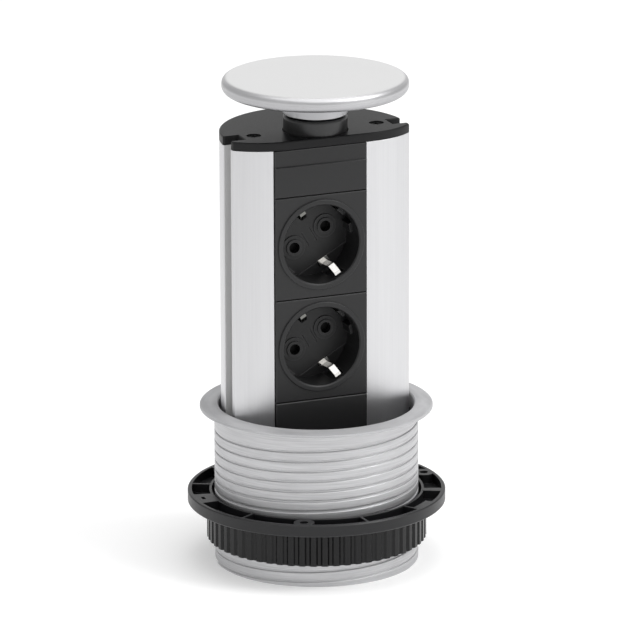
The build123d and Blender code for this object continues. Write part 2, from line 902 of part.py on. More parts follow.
def wall_slots():
    """Shallow slots in the cup wall, behind each earth arm and between each pair of guide blocks."""
    slots = Part()
    near = cup_radius - overrun
    far = cup_radius + wall_slot_depth
    half = wall_slot_width / 2
    arm_top = ring_front - wall_slot_cover
    key_top = ring_front - key_block_depth
    for turn in (0, 180):
        slots += Rot(0, 0, turn) * block(-half, half, near, far, floor_front, arm_top)
        slots += Rot(0, 0, turn) * block(near, far, -key_block_near, key_block_near, floor_front, key_top)
    return slots


def chord_ridge(side):
    """Low ridge along the edge of a sunk segment of the cup floor."""
    outer = side * chord_offset
    inner = side * (chord_offset - chord_ridge_width)
    foot = floor_front - hair
    top = floor_front + chord_ridge_height
    ridge = block(-cup_radius, cup_radius, min(inner, outer), max(inner, outer), foot, top)
    return ridge & post(cup_radius + hair, foot, top)


def socket_core():
    """Ring, cup and floor of a socket about its own centre."""
    core = post(cup_radius + cup_wall, floor_rear, plate_front - plate_thickness / 2)
    rim = post(ring_radius, plate_front - plate_thickness / 2, ring_front)
    core += fillet(rim.faces().sort_by(Axis.Z)[-1].edges(), ring_round)
    core += tube(cup_radius + cup_wall, cup_radius - hair, back_front, floor_rear)
    for side in (-1, 1):
        at = side * cup_screw_offset
        core += post(cup_boss_radius, back_front, floor_rear, at, at)
    core -= socket_recess()
    core += key_blocks()
    core -= wall_slots()
    for side in (-1, 1):
        segment = block(
            -cup_radius,
            cup_radius,
            min(side * chord_offset, side * cup_radius),
            max(side * chord_offset, side * cup_radius),
            floor_front - chord_depth,
            floor_front + hair,
        )
        core -= segment & post(cup_radius, floor_front - chord_depth, floor_front + hair)
        core += chord_ridge(side)
        slot_low = min(side * clip_slot_inner, side * clip_slot_outer)
        slot_high = max(side * clip_slot_inner, side * clip_slot_outer)
        half = clip_slot_width / 2
        core -= block(-half, half, slot_low, slot_high, floor_rear - overrun, floor_front + overrun)
        for radius, height in zip(boss_radii, boss_heights):
            core += post(radius, floor_front - hair, floor_front + height, side * pin_offset, 0)
        core -= post(pin_hole_radius, floor_rear - overrun, ring_front, side * pin_offset, 0)
        hole_top = floor_rear + cup_screw_bite + hair
        at = side * cup_screw_offset
        core -= post(cup_screw_hole, back_front - overrun, hole_top, at, at)
        mark_x = side * mark_offset
        core -= block(
            mark_x - mark_width / 2,
            mark_x + mark_width / 2,
            -mark_length / 2,
            mark_length / 2,
            floor_front - mark_depth,
            floor_front + overrun,
        )
    return core


def socket_face(name, z0, z1):
    """Front plate of a socket with its ring and cup."""
    place = socket_place(name)
    plate = hat_plate(z0, z1, plate_front)
    opening = place * post(cup_radius + cup_wall / 2, 0, ring_front)
    return (plate - opening) + place * socket_core()


def clip_arm_points():
    """Middle line of the clip above the floor: up to the peak, back to the wall, and a flat lip."""
    return [
        (clip_reach, floor_front),
        (clip_peak_reach, floor_front + clip_peak_height),
        (clip_tip_reach, floor_front + clip_tip_height),
        (clip_tip_reach + clip_lip, floor_front + clip_tip_height),
    ]


def strip_between(start, end, width):
    """Flat strip between two points given as reach and height, rounded at both ends."""
    length = ((end[0] - start[0]) ** 2 + (end[1] - start[1]) ** 2) ** 0.5
    line = Plane(
        origin=(0, (start[0] + end[0]) / 2, (start[1] + end[1]) / 2),
        x_dir=(0, (end[0] - start[0]) / length, (end[1] - start[1]) / length),
        z_dir=(1, 0, 0),
    )
    section = Rectangle(length, clip_thickness)
    for side in (-1, 1):
        section += Pos(side * length / 2, 0) * Circle(clip_thickness / 2)
    return line.location * extrude(section, width / 2, both=True)


def earth_clip(name):
    """Earth strap across the back with two arms that reach into the cup."""
    low = strap_rear
    strap = block(-clip_wide / 2, clip_wide / 2, -clip_reach, clip_reach, low, low + clip_thickness)
    for side in (-1, 1):
        inner = side * clip_reach - clip_thickness / 2
        outer = side * clip_reach + clip_thickness / 2
        strap += block(-clip_wide / 2, clip_wide / 2, inner, outer, low, floor_front)
        tab_low = min(side * clip_tab_inner, side * clip_reach)
        tab_high = max(side * clip_tab_inner, side * clip_reach)
        tab_top = floor_front + clip_tab_lift
        strap += block(-clip_wide / 2, clip_wide / 2, tab_low, tab_high, tab_top - clip_thickness, tab_top)
    arm = Part()
    points = clip_arm_points()
    for start, end in zip(points, points[1:]):
        arm += strip_between(start, end, clip_narrow)
    strap += arm
    strap += Rot(0, 0, 180) * arm
    return socket_place(name) * strap


def socket_back(name):
    """Body behind the cup that holds the contacts."""
    back = post(back_radius, back_rear, back_front)
    back += post(pivot_radius, back_front - hair, floor_rear - pivot_gap / 2)
    for side in (-1, 1):
        x = side * pin_offset
        back -= post(pocket_radius, back_rear + contact_tail_start(), back_front - pocket_lip, x, 0)
        back -= post(pocket_entry_radius, back_front - pocket_lip - overrun, back_front + overrun, x, 0)
        tail_top = back_rear + contact_tail_start() + overrun
        back -= post(tail_hole_radius, back_rear - overrun, tail_top, x, 0)
        low = side * clip_reach - arm_slot_thickness / 2
        high = side * clip_reach + arm_slot_thickness / 2
        half = clip_slot_width / 2
        back -= block(-half, half, low, high, back_rear - overrun, back_front + overrun)
        sx = side * cup_screw_offset
        back -= post(back_screw_radius + counterbore_gap, back_rear - overrun, back_front + overrun, sx, sx)
        bore_top = back_rear + back_head_cover + back_head_height + hair
        back -= post(back_head_radius + counterbore_gap, back_rear - overrun, bore_top, sx, sx)
    return socket_place(name) * back


def contact_tail_start():
    """Thickness of the rear wall of the contact pockets."""
    return back_depth - contact_front - contact_bore_length - contact_root


def back_screws():
    """Screws that hold both socket backs to their cups."""
    screws = []
    for name in socket_heights:
        for side in (-1, 1):
            offset = side * cup_screw_offset
            length = floor_rear + cup_screw_bite - back_rear - back_head_cover - back_head_height
            screw = cap_screw(back_screw_radius, back_head_radius, back_head_height, length)
            seat = back_rear + back_head_cover + back_head_height
            screws.append(socket_place(name) * Pos(offset, offset, seat) * Rot(180, 0, 0) * screw)
    return one_group(screws)


def pin_contact(name, side):
    """Slit contact tube with a shoulder and a rivet for its bar."""
    front = back_front - contact_front
    rear = front - contact_bore_length
    x = side * pin_offset
    contact = post(contact_radius, rear - contact_root, front, x, 0)
    contact -= post(contact_bore_radius, rear, front + overrun, x, 0)
    slit_low = front - contact_slit_length
    contact -= block(
        x - contact_radius - overrun,
        x + contact_radius + overrun,
        -contact_slit / 2,
        contact_slit / 2,
        slit_low,
        front + overrun,
    )
    bar_front = -live_bar_y
    contact += post(contact_shoulder_radius, bar_front + hair, rear, x, 0)
    contact += post(rivet_radius, bar_front - bar_thickness - rivet_head_height, bar_front + overrun, x, 0)
    head_top = bar_front - bar_thickness - hair
    contact += post(rivet_head_radius, head_top - rivet_head_height, head_top, x, 0)
    return socket_place(name) * contact


def shutter(name):
    """Two winged shutter that turns to clear both pin holes."""
    top = floor_rear - (shutter_room - shutter_thickness) / 2
    low = top - shutter_thickness
    length = shutter_half_length
    width = shutter_half_width
    wings = block(-length, length, -width, width, low, top)
    wings += post(shutter_half_width + pivot_radius, low, top)
    upright = wings.edges().filter_by(Axis.Z)
    upright = upright.filter_by(lambda e: abs(e.center().X) > length - hair)
    wings = fillet(upright, shutter_half_width / 2)
    wings -= post(pivot_radius + pivot_gap, low - overrun, top + overrun)
    return socket_place(name) * wings


# Bars and terminals
def bar_x(side):
    """Plan position of a bar: live on the right, neutral on the left, earth in the middle."""
    return socket_x + side * pin_offset * cos(radians(pin_tilt))


def contact_bar(side):
    """Upright bar that joins the two contacts of one pole."""
    x = bar_x(side)
    offset = side * pin_offset * sin(radians(pin_tilt))
    top = socket_heights["upper"] + offset + bar_margin
    half = live_bar_width / 2
    bar = block(x - half, x + half, live_bar_y, live_bar_y + bar_thickness, bar_foot, top)
    for height in socket_heights.values():
        far = live_bar_y + bar_thickness + overrun
        bar -= rod_y(bar_hole_radius, live_bar_y - overrun, far, x, height + offset)
    return bar


def earth_bar():
    """Upright bar that joins both earth straps."""
    half = earth_bar_width / 2
    top = socket_heights["upper"] + bar_margin
    low_y = earth_bar_y - earth_bar_gap + hair
    return block(socket_x - half, socket_x + half, low_y, earth_bar_y + bar_thickness, bar_foot, top)


def cell_middles():
    """Plan position of each terminal cell with the front of the bar that enters it."""
    return (
        (socket_x - terminal_pitch, live_bar_y),
        (socket_x, earth_bar_y),
        (socket_x + terminal_pitch, live_bar_y),
    )


def terminal_block():
    """Insulating block with three cells, each open at the top with a wire hole below."""
    left, right = socket_x - terminal_half_width, socket_x + terminal_half_width
    top = terminal_foot + terminal_height
    middle_y = (terminal_front_y + terminal_rear_y) / 2
    shape = block(left, right, terminal_front_y, terminal_rear_y, terminal_foot, top)
    ear_half = pillar_depth / 2
    for side in (-1, 1):
        x0 = socket_x + side * terminal_half_width
        x1 = x0 + side * ear_width
        low_y = middle_y - ear_half
        high_y = middle_y + ear_half
        ear_top = terminal_foot + ear_height
        ear = block(min(x0, x1), max(x0, x1), low_y, high_y, terminal_foot, ear_top)
        hole = post(spigot_hole_radius, terminal_foot - overrun, top, x0 + side * ear_width / 2, middle_y)
        shape += ear - hole
    for x, _ in cell_middles():
        half, depth = clamp_width / 2 + clamp_gap, clamp_depth / 2 + clamp_gap
        room_foot = terminal_foot + clamp_floor
        shape -= block(x - half, x + half, middle_y - depth, middle_y + depth, room_foot, top + overrun)
        shape -= post(wire_radius + clamp_gap, terminal_foot - overrun, top, x, middle_y)
        for height in terminal_screw_heights:
            z = terminal_foot + clamp_floor + height
            shape -= rod_y(terminal_head_radius + clamp_gap, middle_y, terminal_rear_y + overrun, x, z)
    return shape


def terminal_clamps():
    """Brass clamps of the three cells, with a wire hole below and a slot for the bar above."""
    middle_y = (terminal_front_y + terminal_rear_y) / 2
    foot = terminal_foot + clamp_floor + hair
    clamps = []
    for x, bar_y in cell_middles():
        half, depth = clamp_width / 2, clamp_depth / 2
        clamp = block(x - half, x + half, middle_y - depth, middle_y + depth, foot, foot + clamp_height)
        clamp -= post(wire_radius, foot - overrun, foot + wire_depth, x, middle_y)
        slot_low = bar_foot - bar_slot_margin
        slot = block(
            x - half - overrun,
            x + half + overrun,
            bar_y - earth_bar_gap - bar_slot_margin,
            bar_y + bar_thickness + bar_slot_margin,
            slot_low,
            foot + clamp_height + overrun,
        )
        clamp -= slot
        for height in terminal_screw_heights:
            z = terminal_foot + clamp_floor + height
            far = middle_y + depth + overrun
            clamp -= rod_y(terminal_screw_radius + hair, screw_tip(height, bar_y), far, x, z)
        clamps.append(clamp)
    return one_group(clamps)


def screw_tip(height, bar_y):
    """Depth that a terminal screw reaches: the bar above, the wire hole below."""
    if height == terminal_screw_heights[0]:
        return (terminal_front_y + terminal_rear_y) / 2 + wire_radius
    return bar_y + bar_thickness + hair


def terminal_screws():
    """Screws of the terminal cells, driven from behind."""
    middle_y = (terminal_front_y + terminal_rear_y) / 2
    head_seat = middle_y + clamp_depth / 2 + clamp_gap
    screws = []
    for x, bar_y in cell_middles():
        for height in terminal_screw_heights:
            z = terminal_foot + clamp_floor + height
            tip = screw_tip(height, bar_y) + hair
            length = head_seat - tip
            screw = cap_screw(terminal_screw_radius, terminal_head_radius, terminal_head_height, length)
            screws.append(Pos(x, head_seat, z) * Rot(-90, 0, 0) * screw)
    return one_group(screws)


# Lid
def lid_disc():
    """Round lid with a soft edge and a hollow underside."""
    disc = post(lid_radius, lid_under, lid_top)
    disc = fillet(disc.faces().sort_by(Axis.Z)[-1].edges(), lid_top_round)
    disc = fillet(disc.faces().sort_by(Axis.Z)[0].edges(), lid_lower_round)
    disc -= tube(lid_hollow_outer, lid_hollow_inner, lid_under - overrun, lid_under + lid_hollow_depth)
    disc += post(lid_boss_radius, neck_web_top + hair, lid_under + hair)
    disc -= post(lid_tap_radius, neck_web_top - overrun, neck_web_top + lid_tap_depth)
    return disc


def lid_collar():
    """Silver ring between lid and neck."""
    collar = tube(collar_radius, collar_bore_radius, collar_foot, lid_under)
    lower = collar.faces().sort_by(Axis.Z)[0].edges().sort_by(SortBy.RADIUS)[-1]
    return fillet(lower, collar_round)


def neck():
    """Black neck that slides through the cap, with a foot that holds it in."""
    body = post(neck_radius, neck_foot, neck_top)
    body = fillet(body.faces().sort_by(Axis.Z)[-1].edges(), neck_round)
    body += post(neck_spigot_radius, neck_top - overrun, neck_web_top)
    foot = post(neck_foot_radius, neck_foot, neck_foot + neck_foot_height)
    front = block(
        -neck_foot_radius,
        neck_foot_radius,
        -neck_foot_front,
        neck_foot_radius,
        neck_foot,
        neck_foot + neck_foot_height,
    )
    body += foot & front
    body -= post(neck_bore_radius, neck_foot - overrun, neck_seat)
    body -= post(lid_screw_hole, neck_foot, lid_under)
    return body


def lid_screw():
    """Screw that holds lid, collar and neck together."""
    screw = post(lid_screw_head_radius, neck_seat - lid_screw_head_height, neck_seat)
    screw += post(lid_screw_radius, neck_seat - hair, neck_seat + lid_screw_length)
    recess = extrude(RegularPolygon(hex_recess, 6, major_radius=False), hex_depth)
    return screw - Pos(0, 0, neck_seat - lid_screw_head_height) * recess


def guide_cup():
    """Cup under the cap that holds the spring and stops the neck."""
    cup = post(guide_radius, guide_floor, cap_bottom)
    cup -= post(guide_bore_radius, guide_floor + guide_floor_thickness, cap_bottom + overrun)
    cup += post(spring_post_radius, guide_floor, guide_floor + guide_floor_thickness + spring_post_height)
    for angle in guide_screw_angles:
        x, y = polar(guide_screw_ring, angle)
        low = cap_bottom - guide_ear_thickness
        ear = post(guide_ear_radius, low, cap_bottom, x, y)
        start = guide_radius - guide_ear_thickness / 2
        half = guide_ear_radius
        bridge = block(start, guide_screw_ring, -half, half, low, cap_bottom)
        cup += ear + Rot(0, 0, angle) * bridge
        cup -= post(guide_screw_hole, low - overrun, cap_bottom + overrun, x, y)
    wide = guide_screw_ring + guide_ear_radius
    return cup & block(-wide, wide, -guide_front, wide, guide_floor, cap_bottom)


def guide_screws():
    """Screws of the guide cup."""
    screws = []
    for angle in guide_screw_angles:
        x, y = polar(guide_screw_ring, angle)
        length = guide_ear_thickness + guide_screw_bite
        screw = cap_screw(guide_screw_radius, guide_screw_head_radius, guide_screw_head_height, length)
        screws.append(Pos(x, y, cap_bottom - guide_ear_thickness) * Rot(180, 0, 0) * screw)
    return one_group(screws)


def lid_spring():
    """Coil that lifts the lid."""
    low = guide_floor + guide_floor_thickness + spring_wire + spring_gap
    high = neck_seat - spring_wire - spring_gap
    helix = Helix((high - low) / spring_turns, high - low, spring_radius)
    section = Plane(origin=helix @ 0, z_dir=helix % 0) * Circle(spring_wire)
    return Pos(0, 0, low) * sweep(section, path=helix, is_frenet=True)


# Every piece under its own name
def pieces():
    """All pieces of the object by name."""
    gap = joint_gap / 2
    made = {
        "threaded_sleeve": threaded_sleeve(),
        "guide_key_left": guide_key(-1),
        "guide_key_right": guide_key(1),
        "key_screws": key_screws(),
        "glide_pads": glide_pads(),
        "clamp_ring": clamp_ring(),
        "knurled_nut": knurled_nut(),
        "column_extrusion": column_extrusion(),
        "top_cap": top_cap(),
        "cap_screws": port_screws(upward=False),
        "base_plate": base_plate(),
        "base_screws": port_screws(upward=True),
        "cord_gland": cord_gland(),
        "gland_nut": gland_nut(),
        "cord_clamp": cord_clamp(),
        "cord_clamp_screws": cord_clamp_screws(),
        "blank_plate_upper": blank_plate_upper(),
        "blank_plate_lower": blank_plate_lower(),
        "socket_face_upper": socket_face("upper", joint_heights[1] + gap, joint_heights[0] - gap),
        "socket_face_lower": socket_face("lower", joint_heights[2] + gap, joint_heights[1] - gap),
        "back_screws": back_screws(),
        "live_bar": contact_bar(1),
        "neutral_bar": contact_bar(-1),
        "earth_bar": earth_bar(),
        "terminal_block": terminal_block(),
        "terminal_clamps": terminal_clamps(),
        "terminal_screws": terminal_screws(),
        "lid_disc": lid_disc(),
        "lid_collar": lid_collar(),
        "neck": neck(),
        "lid_screw": lid_screw(),
        "lid_spring": lid_spring(),
        "guide_cup": guide_cup(),
        "guide_screws": guide_screws(),
    }
    for name in socket_heights:
        made["socket_back_" + name] = socket_back(name)
        made["earth_clip_" + name] = earth_clip(name)
        made["live_contact_" + name] = pin_contact(name, 1)
        made["neutral_contact_" + name] = pin_contact(name, -1)
        made["shutter_" + name] = shutter(name)
    return made


def main():
    """Write one STEP file per piece."""
    os.makedirs("parts", exist_ok=True)
    for name, solid in pieces().items():
        export_step(solid, "parts/" + name + ".step")
        print(name, round(solid.volume), len(solid.solids()))


if __name__ == "__main__":
    main()
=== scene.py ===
# %% [markdown]
# # Pop up desk socket
# The object is a round aluminium column with two earthed sockets. It slides up out of a
# threaded sleeve that sits in a worktop. This script loads the construction model, gives
# every piece its finish, winds the one spring that has to change shape, and sets a plain
# studio round it. Lengths are in metres, +Z is up and the sockets face -Y.

# %% Load the construction model
import math

import bpy
from mathutils import Matrix, Vector


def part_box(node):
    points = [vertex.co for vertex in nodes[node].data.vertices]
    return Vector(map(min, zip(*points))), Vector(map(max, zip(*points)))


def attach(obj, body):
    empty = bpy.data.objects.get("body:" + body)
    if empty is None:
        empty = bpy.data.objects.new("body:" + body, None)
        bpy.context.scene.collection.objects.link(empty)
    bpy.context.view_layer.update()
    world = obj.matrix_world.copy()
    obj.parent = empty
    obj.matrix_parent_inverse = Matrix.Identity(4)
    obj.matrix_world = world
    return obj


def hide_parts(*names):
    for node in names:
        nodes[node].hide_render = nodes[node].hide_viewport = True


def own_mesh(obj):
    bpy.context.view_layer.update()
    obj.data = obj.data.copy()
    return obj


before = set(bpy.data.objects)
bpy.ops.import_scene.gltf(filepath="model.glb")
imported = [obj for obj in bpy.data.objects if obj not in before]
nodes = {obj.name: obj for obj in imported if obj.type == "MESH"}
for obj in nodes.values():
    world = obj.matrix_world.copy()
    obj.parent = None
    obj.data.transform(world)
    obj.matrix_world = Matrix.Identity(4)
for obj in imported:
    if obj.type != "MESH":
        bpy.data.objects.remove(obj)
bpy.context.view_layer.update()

# %% [markdown]
# ## Surfaces
# Every finish is one Principled shader. What is the same all over the piece is set on the
# shader's own sockets, because that survives an export. Only what varies is linked in. The
# greys of this object lean a touch to blue, so they are written as a value and that touch.

# %% Shader and its sockets


def grey(value, blue=0.0):
    """Grey that leans to blue by a little."""
    return (value, value, value + blue)


def new_finish(name, colour, metallic, shine=0.5):
    """Material with one shader and constant values on its sockets."""
    material = bpy.data.materials.new(name)
    material.use_nodes = True
    shader = material.node_tree.nodes["Principled BSDF"]
    shader.inputs["Base Color"].default_value = (*colour, 1.0)
    shader.inputs["Metallic"].default_value = metallic
    shader.inputs["Specular IOR Level"].default_value = shine
    return material


def feed(material, socket_name, source):
    """Link a value into the shader."""
    tree = material.node_tree
    tree.links.new(source, tree.nodes["Principled BSDF"].inputs[socket_name])


# %% [markdown]
# ### Grain
# Real satin surfaces are never even: the roughness wanders a little from place to place.
# Noise on the object's own coordinates gives that, and it stays put when the piece moves.
# Stretching the noise along one direction turns it into the lines that a die or a lathe
# leaves. An image would do it too, but noise has no seams and stays sharp close up.

# %% Noise and roughness


def add_noise(material, scale, detail=3.0):
    """Noise on object coordinates, with one scale per direction."""
    tree = material.node_tree
    place = tree.nodes.new("ShaderNodeTexCoord")
    stretch = tree.nodes.new("ShaderNodeMapping")
    stretch.inputs["Scale"].default_value = scale
    noise = tree.nodes.new("ShaderNodeTexNoise")
    noise.inputs["Scale"].default_value = 1.0
    noise.inputs["Detail"].default_value = detail
    noise.inputs["Roughness"].default_value = 0.55
    tree.links.new(place.outputs["Object"], stretch.inputs["Vector"])
    tree.links.new(stretch.outputs["Vector"], noise.inputs["Vector"])
    return noise.outputs["Fac"]


def rescale(material, value, from_low, from_high, to_low=0.0, to_high=1.0):
    """Stretch a value from one range to another, and stop it at both ends."""
    tree = material.node_tree
    band = tree.nodes.new("ShaderNodeMapRange")
    band.inputs["From Min"].default_value = from_low
    band.inputs["From Max"].default_value = from_high
    band.inputs["To Min"].default_value = to_low
    band.inputs["To Max"].default_value = to_high
    tree.links.new(value, band.inputs["Value"])
    return band.outputs["Result"]


noise_low, noise_high = 0.3, 0.7


def vary_roughness(material, grain, low, high):
    """Spread a grain over a band of roughness."""
    band = rescale(material, grain, noise_low, noise_high, low, high)
    feed(material, "Roughness", band)
    return band


# %% [markdown]
# ### Colour
# Two colours that hardly differ, spread by the same kind of noise, keep a large plain face
# from looking painted. A third colour can lie over them wherever a factor says so, such as
# on edges, where it is partly wear and partly a painted highlight, or on the walls of a
# groove, where it is painted light.

# %% Colour


def mix_colour(material, factor, below, above):
    """Colour that goes from one to the other with a factor. Each is plain or linked."""
    tree = material.node_tree
    blend = tree.nodes.new("ShaderNodeMix")
    blend.data_type = "RGBA"
    tree.links.new(factor, blend.inputs["Factor"])
    for socket, source in ((blend.inputs["A"], below), (blend.inputs["B"], above)):
        if isinstance(source, tuple):
            socket.default_value = (*source, 1.0)
        else:
            tree.links.new(source, socket)
    return blend.outputs["Result"]


def vary_colour(material, grain, dark, light, edges, wear_and_highlight_colour):
    """Spread a grain between two colours, with a third one on the edges, for wear and a painted
    highlight.
    """
    tree = material.node_tree
    ramp = tree.nodes.new("ShaderNodeValToRGB")
    ramp.color_ramp.elements[0].position = noise_low
    ramp.color_ramp.elements[0].color = (*dark, 1.0)
    ramp.color_ramp.elements[1].position = noise_high
    ramp.color_ramp.elements[1].color = (*light, 1.0)
    tree.links.new(grain, ramp.inputs["Fac"])
    feed(material, "Base Color", mix_colour(material, edges, ramp.outputs["Color"], wear_and_highlight_colour))


def cover_colour(material, factor, colour):
    """Lay a colour over the base colour where the factor is 1."""
    base = material.node_tree.nodes["Principled BSDF"].inputs["Base Color"]
    feed(material, "Base Color", mix_colour(material, factor, base.links[0].from_socket, colour))


# %% [markdown]
# ### Edges and relief
# Edges get rubbed first, and their paler colour is partly that wear and partly a painted
# highlight along them. Rays sent into the material find them: near an outer edge they leave
# the solid at once, on a flat face they don't. The same edges are never quite sharp, so the
# bump starts from normals that are rounded over a small radius. The construction model
# keeps its own sharp mesh, and only the light on it changes.

# %% Edges and relief
bevel_samples = 6
wear_and_highlight_samples = 6
open_inside, wear_and_highlight_inside = 1.0, 0.55


def wear_and_highlight_edges(material, reach):
    """Value that is 0 on flat faces and rises on outer edges."""
    inside = material.node_tree.nodes.new("ShaderNodeAmbientOcclusion")
    inside.inside = True
    inside.only_local = True
    inside.samples = wear_and_highlight_samples
    inside.inputs["Distance"].default_value = reach
    return rescale(material, inside.outputs["AO"], open_inside, wear_and_highlight_inside)


def raise_grain(material, grain, height, edge_radius=0.0):
    """Low bump from a grain, over edges that are softened by a radius."""
    tree = material.node_tree
    bump = tree.nodes.new("ShaderNodeBump")
    bump.inputs["Strength"].default_value = 1.0
    bump.inputs["Distance"].default_value = height
    tree.links.new(grain, bump.inputs["Height"])
    if edge_radius:
        edge = tree.nodes.new("ShaderNodeBevel")
        edge.samples = bevel_samples
        edge.inputs["Radius"].default_value = edge_radius
        tree.links.new(edge.outputs["Normal"], bump.inputs["Normal"])
    feed(material, "Normal", bump.outputs["Normal"])


# %% [markdown]
# ### Places on a piece
# A few pieces are finished differently in one place, as a flange is faced after its sleeve
# is turned, and a few get light or shade painted in one place. Object coordinates tell such
# places apart, without cutting the mesh.

# %% Places on a piece


def place_along(material, axis):
    """Object coordinate along one axis."""
    tree = material.node_tree
    place = tree.nodes.new("ShaderNodeTexCoord")
    parts = tree.nodes.new("ShaderNodeSeparateXYZ")
    tree.links.new(place.outputs["Object"], parts.inputs["Vector"])
    return parts.outputs[axis]


def above_height(material, height, spread):
    """Value that goes from 0 to 1 as the object rises past a height."""
    return rescale(material, place_along(material, "Z"), height - spread, height + spread)


def below_height(material, height, spread):
    """Value that goes from 1 to 0 as the object rises past a height."""
    return rescale(material, place_along(material, "Z"), height + spread, height - spread)


def within_band(material, axis, middle, reach):
    """Value that is 1 where the place along an axis lies within reach of the middle."""
    tree = material.node_tree
    test = tree.nodes.new("ShaderNodeMath")
    test.operation = "COMPARE"
    test.inputs[1].default_value = middle
    test.inputs[2].default_value = reach
    tree.links.new(place_along(material, axis), test.inputs[0])
    return test.outputs["Value"]


# %% [markdown]
# ### Handing out finishes
# A construction piece keeps its mesh. Only its material slots are filled. Most small pieces
# need no more than an even grain that moves their roughness, so one helper makes those.

# %% Handing out finishes


def grained_finish(name, colour, metallic, rough, scale, shine=0.5, detail=3.0):
    """Finish with an even grain in its roughness, and that grain."""
    material = new_finish(name, colour, metallic, shine)
    grain = add_noise(material, (scale, scale, scale), detail)
    vary_roughness(material, grain, *rough)
    return material, grain


def wear(node_names, material):
    """Give construction pieces a finish."""
    for name in node_names:
        for slot in nodes[name].material_slots:
            slot.link = "DATA"
            slot.material = material
        print(name, "wears", material.name)


# %% [markdown]
# ### Column
# The column is an extruded profile, etched and anodised. Its die lines run up and down, so
# the noise is fine across them and long along them.

# %% Column aluminium
column_metal = new_finish("column_anodised", grey(0.65, 0.01), metallic=1.0)
die_lines = add_noise(column_metal, scale=(2600.0, 2600.0, 14.0))
vary_roughness(column_metal, die_lines, low=0.30, high=0.40)
raise_grain(column_metal, die_lines, height=0.00002, edge_radius=0.0003)
die_streaks = add_noise(column_metal, scale=(1500.0, 1500.0, 12.0))
# Edges painted paler: partly wear, partly a painted highlight.
column_edges = wear_and_highlight_edges(column_metal, reach=0.0005)
column_tones = (grey(0.585, 0.01), grey(0.61, 0.01))
vary_colour(column_metal, die_streaks, *column_tones, column_edges, wear_and_highlight_colour=grey(0.74, 0.01))
wear(["column_extrusion"], column_metal)

# %% [markdown]
# The walls of its two side grooves carry painted light: they are painted a pale matt grey,
# as if lit. A mirror there would only show the dark opposite wall, so the metallic value
# drops to nothing.

# %% Column grooves
groove_middle = -0.0006
groove_reach = 0.0045
painted_light_groove_walls = within_band(column_metal, "Y", groove_middle, groove_reach)
feed(column_metal, "Metallic", rescale(column_metal, painted_light_groove_walls, 0.0, 1.0, 1.0, 0.0))
# Painted light: the groove walls are painted a pale grey.
cover_colour(column_metal, painted_light_groove_walls, grey(0.56))
print("groove middle", groove_middle, "reach", groove_reach)

# %% [markdown]
# ### Sleeve
# The sleeve is turned, so its lines run round it: the noise is fine up and down and long
# round the axis. A wide edge radius softens the lands of the thread, which are rounded on
# the real piece. The flange on top is faced and duller.

# %% Sleeve aluminium
sleeve_metal = new_finish("sleeve_turned", grey(0.58, 0.01), metallic=0.88)
lathe_lines = add_noise(sleeve_metal, scale=(90.0, 90.0, 5200.0))
sleeve_rough = vary_roughness(sleeve_metal, lathe_lines, low=0.40, high=0.56)
raise_grain(sleeve_metal, lathe_lines, height=0.00003, edge_radius=0.0009)
lathe_streaks = add_noise(sleeve_metal, scale=(40.0, 40.0, 1700.0))
# Edges painted paler: partly wear, partly a painted highlight.
sleeve_edges = wear_and_highlight_edges(sleeve_metal, reach=0.0005)
sleeve_tones = (grey(0.47, 0.01), grey(0.59, 0.01))
vary_colour(sleeve_metal, lathe_streaks, *sleeve_tones, sleeve_edges, wear_and_highlight_colour=grey(0.72, 0.01))
wear(["threaded_sleeve"], sleeve_metal)

# %% Flange
flange_height = 0.07855
flange_rough = 0.8
flange_blend = sleeve_metal.node_tree.nodes.new("ShaderNodeMix")
flange_blend.data_type = "FLOAT"
flange_blend.inputs["B"].default_value = flange_rough
flange = above_height(sleeve_metal, flange_height, spread=0.0001)
sleeve_metal.node_tree.links.new(flange, flange_blend.inputs["Factor"])
sleeve_metal.node_tree.links.new(sleeve_rough, flange_blend.inputs["A"])
feed(sleeve_metal, "Roughness", flange_blend.outputs["Result"])
print("flange above", flange_height)

# %% [markdown]
# ### Lid and collar
# The lid is blasted and anodised, with hardly any direction in its grain. Its face is painted
# the palest, a painted light, and its rim is painted darker towards the underside, a painted
# shade and dark reflection. The collar below it is turned bright.

# %% Lid aluminium
lid_metal, lid_grain = grained_finish("lid_blasted", grey(0.76), 1.0, (0.36, 0.44), 4200.0)
raise_grain(lid_metal, lid_grain, height=0.000008, edge_radius=0.0002)
# Painted shade: the rim is painted darker towards the underside, as a dark reflection.
lid_rim_painted_shade = above_height(lid_metal, 0.2415, spread=0.0025)
lid_painted_shading = mix_colour(lid_metal, lid_rim_painted_shade, grey(0.25, 0.01), grey(0.54, 0.01))
feed(lid_metal, "Base Color", lid_painted_shading)
# Painted light: the face is painted palest.
lid_face_painted_light = above_height(lid_metal, 0.2467, spread=0.0002)
cover_colour(lid_metal, lid_face_painted_light, grey(0.86))
wear(["lid_disc"], lid_metal)

# %% Collar aluminium
collar_metal = new_finish("collar_bright", grey(0.37, 0.01), metallic=1.0)
collar_lines = add_noise(collar_metal, scale=(60.0, 60.0, 6000.0))
vary_roughness(collar_metal, collar_lines, low=0.18, high=0.28)
raise_grain(collar_metal, collar_lines, height=0.000006, edge_radius=0.0001)
wear(["lid_collar"], collar_metal)

# %% [markdown]
# ### Outer plastics
# All of these are black, and black shows little but its gloss. So they differ in grain,
# roughness and shine: the insert is fine sparked nylon with a soft sheen, the clamp ring is
# coarser, the nut is smoother and darker, and the cap is the dullest.

# %% Builder for moulded plastics
plastic_detail = 2.0
plastic_reach = 0.0006


